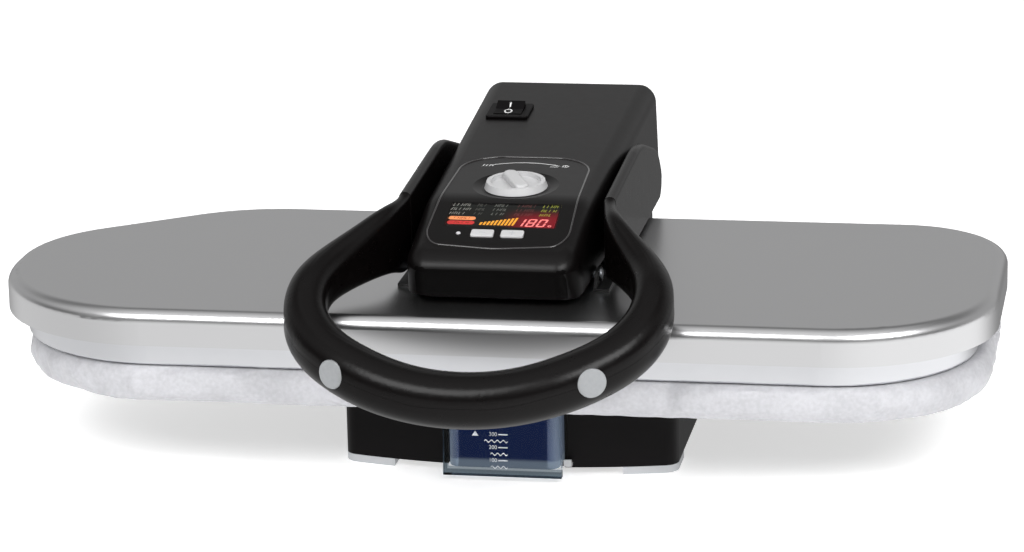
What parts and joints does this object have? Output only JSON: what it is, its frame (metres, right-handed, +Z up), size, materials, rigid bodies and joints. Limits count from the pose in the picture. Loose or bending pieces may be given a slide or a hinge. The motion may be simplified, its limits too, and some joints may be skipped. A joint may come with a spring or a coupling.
{
  "type": "steam ironing press",
  "caption": "Table-top steam ironing press: padded board on a base with water tank, hinged arm with heated pressing plate, loop handle, display, dial and power switch.",
  "frame": {"origin": "middle of the outline seen from above, on the surface the feet stand on", "axes": "+X along the board towards its square end, +Y from the handle towards the rear hinge, +Z up"},
  "size_m": [0.648, 0.4585, 0.1856],
  "materials": {
    "cover_steel": "satin, pressed sheet",
    "sole_aluminium": "satin, cast and machined",
    "steel": "zinc plated",
    "black_steel": "black, matt",
    "brass": "sintered",
    "board_fabric": "woven silver-grey cover, soft",
    "foam": "open foam padding",
    "black_plastic": "satin moulded",
    "black_gloss": "semi-gloss moulded",
    "white_plastic": "satin moulded",
    "grey_plastic": "silver-grey satin",
    "grey_rubber": "light grey, soft",
    "black_rubber": "soft",
    "tank_plastic": "translucent dark blue",
    "clear_plastic": "clear moulded plastic",
    "smoked_window": "smoked clear plastic"
  },
  "bodies": {
    "base": {"base_shell": "black_plastic", "base_plate": "black_steel", "base_screws": "steel", "front_feet": "grey_rubber", "rear_feet": "grey_rubber", "chassis": "black_steel", "column_cover": "black_plastic", "hinge_shaft": "steel", "board_cover": "board_fabric", "board_foam": "foam", "board_tray": "black_steel", "valve_seat": "black_plastic", "water_pump": "white_plastic", "pump_clamp": "steel", "water_hose": "grey_rubber", "cord_gland": "black_rubber", "tank_clip": "white_plastic"},
    "tank": {"tank_body": "tank_plastic", "tank_lid": "tank_plastic", "tank_window": "clear_plastic", "tank_valve": "white_plastic"},
    "arm": {"arm_lever": "black_steel", "hinge_bushes": "brass", "lift_springs": "steel", "arm_top_cover": "black_plastic", "arm_lower_cover": "black_plastic", "control_panel": "black_gloss", "display_window": "smoked_window", "display_card": "black_plastic", "status_lamp": "clear_plastic", "dial_switch": "white_plastic", "switch_bezel": "black_plastic", "handle_pins": "steel"},
    "platen": {"platen_cover": "cover_steel", "heat_shield": "sole_aluminium", "heating_plate": "sole_aluminium", "heating_element": "steel", "steam_chamber": "sole_aluminium", "thermostat": "white_plastic", "platen_brackets": "black_steel", "platen_pivots": "steel"},
    "handle": {"handle_upper": "black_plastic", "handle_lower": "black_plastic", "handle_core": "steel", "handle_caps": "grey_plastic", "handle_screws": "steel"},
    "knob": {"temperature_knob": "white_plastic"},
    "rocker": {"power_rocker": "black_gloss"},
    "minus_key": {"minus_button": "grey_plastic"},
    "plus_key": {"plus_button": "grey_plastic"}
  },
  "joints": [
    {"name": "arm_lift", "type": "hinge", "parent": "base", "child": "arm", "pos_m": [0.011, 0.19, 0.082], "axis": [-1, 0, 0], "range_deg": [0, 50]},
    {"name": "platen_float", "type": "hinge", "parent": "arm", "child": "platen", "pos_m": [0.011, -0.042, 0.121], "axis": [-1, 0, 0], "range_deg": [0, 1]},
    {"name": "handle_swing", "type": "hinge", "parent": "arm", "child": "handle", "pos_m": [0.011, 0.15, 0.138], "axis": [-1, 0, 0], "range_deg": [0, 30]},
    {"name": "dial_turn", "type": "hinge", "parent": "arm", "child": "knob", "pos_m": [0.011, -0.004, 0.16838], "axis": [0, -0.0698, 0.9976], "range_deg": [-135, 135]},
    {"name": "switch_rock", "type": "hinge", "parent": "arm", "child": "rocker", "pos_m": [-0.02, 0.15, 0.17914], "axis": [-1, 0, 0], "range_deg": [0, 22]},
    {"name": "minus_press", "type": "slide", "parent": "arm", "child": "minus_key", "axis": [0, 0.2588, -0.9659], "range_m": [0, 0.0008], "stiffness_N_per_m": 300},
    {"name": "plus_press", "type": "slide", "parent": "arm", "child": "plus_key", "axis": [0, 0.2588, -0.9659], "range_m": [0, 0.0008], "stiffness_N_per_m": 300},
    {"name": "tank_slide", "type": "slide", "parent": "base", "child": "tank", "axis": [0, -1, 0], "range_m": [0, 0.13]}
  ],
  "couplings": [
    {"joint": "platen_float", "follows": "arm_lift", "ratio": 0.02}
  ]
}
